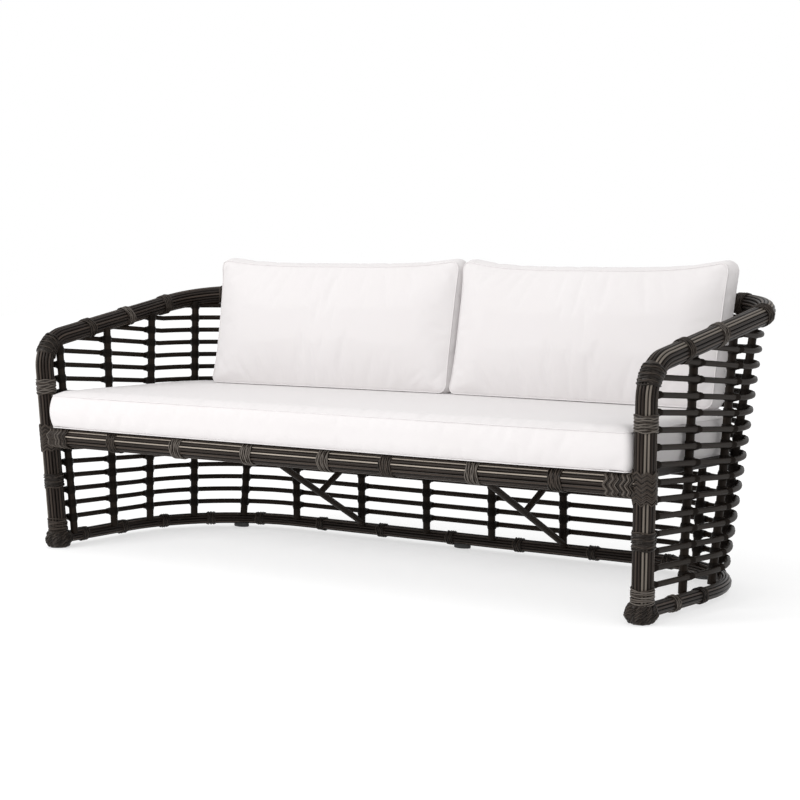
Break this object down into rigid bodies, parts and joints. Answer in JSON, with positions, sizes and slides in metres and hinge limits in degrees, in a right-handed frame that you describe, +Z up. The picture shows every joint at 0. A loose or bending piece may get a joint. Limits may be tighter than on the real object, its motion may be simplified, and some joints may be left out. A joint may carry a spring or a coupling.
{
  "type": "garden sofa",
  "caption": "Woven cane-look garden sofa with a railed wrap-round wall, sloping arms, a long seat cushion and loose back cushions on a pole frame.",
  "frame": {"origin": "on the floor, at the middle of the sofa's width and of its depth", "axes": "+X to the sitter's left, along the sofa; -Y to the front, where the sitter's legs go; +Z up"},
  "size_m": [2.0046, 0.7337, 0.8107],
  "materials": {
    "strand": "satin",
    "thin_strand": "satin",
    "aluminium": "satin",
    "dark_coat": "satin",
    "glide": "matte",
    "fabric": "matte"
  },
  "bodies": {
    "frame": {"back_upright_1_left": "thin_strand", "back_upright_1_right": "thin_strand", "back_upright_2_left": "thin_strand", "back_upright_2_right": "thin_strand", "back_upright_3_left": "thin_strand", "back_upright_3_right": "thin_strand", "back_upright_4_left": "thin_strand", "back_upright_4_right": "thin_strand", "base_rail_tube": "aluminium", "base_rail_wrap": "strand", "brace_long_left": "thin_strand", "brace_long_right": "thin_strand", "brace_short_left": "thin_strand", "brace_short_right": "thin_strand", "foot_left": "strand", "foot_right": "strand", "glide_left": "glide", "glide_middle": "glide", "glide_right": "glide", "rod_01": "thin_strand", "rod_02": "thin_strand", "rod_03": "thin_strand", "rod_04": "thin_strand", "rod_05": "thin_strand", "rod_06": "thin_strand", "rod_07": "thin_strand", "rod_08": "thin_strand", "rod_09": "thin_strand", "rod_10": "thin_strand", "rod_11": "thin_strand", "rod_12": "thin_strand", "rod_13": "thin_strand", "rod_14": "thin_strand", "rod_15": "thin_strand", "rod_16": "thin_strand", "rod_17": "thin_strand", "seat_back_rail": "dark_coat", "seat_bar_1": "dark_coat", "seat_bar_2": "dark_coat", "seat_bar_3": "dark_coat", "seat_bar_4": "dark_coat", "seat_bar_5": "dark_coat", "seat_front_rail_tube": "aluminium", "seat_front_rail_wrap": "strand", "side_upright_1_left": "thin_strand", "side_upright_1_right": "thin_strand", "side_upright_2_left": "thin_strand", "side_upright_2_right": "thin_strand", "side_upright_3_left": "thin_strand", "side_upright_3_right": "thin_strand", "side_upright_4_left": "thin_strand", "side_upright_4_right": "thin_strand", "top_rail_tube": "aluminium", "top_rail_wrap": "strand"},
    "seat_cushion": {"seat_cushion": "fabric"},
    "back_cushion_left": {"back_cushion_left": "fabric"},
    "back_cushion_right": {"back_cushion_right": "fabric"}
  },
  "joints": [
    {"name": "seat_cushion_lift", "type": "slide", "parent": "frame", "child": "seat_cushion", "axis": [0, 0, 1], "range_m": [0, 0.25]},
    {"name": "back_cushion_left_lift", "type": "slide", "parent": "seat_cushion", "child": "back_cushion_left", "axis": [0, 0, 1], "range_m": [0, 0.3]},
    {"name": "back_cushion_right_lift", "type": "slide", "parent": "seat_cushion", "child": "back_cushion_right", "axis": [0, 0, 1], "range_m": [0, 0.3]}
  ]
}
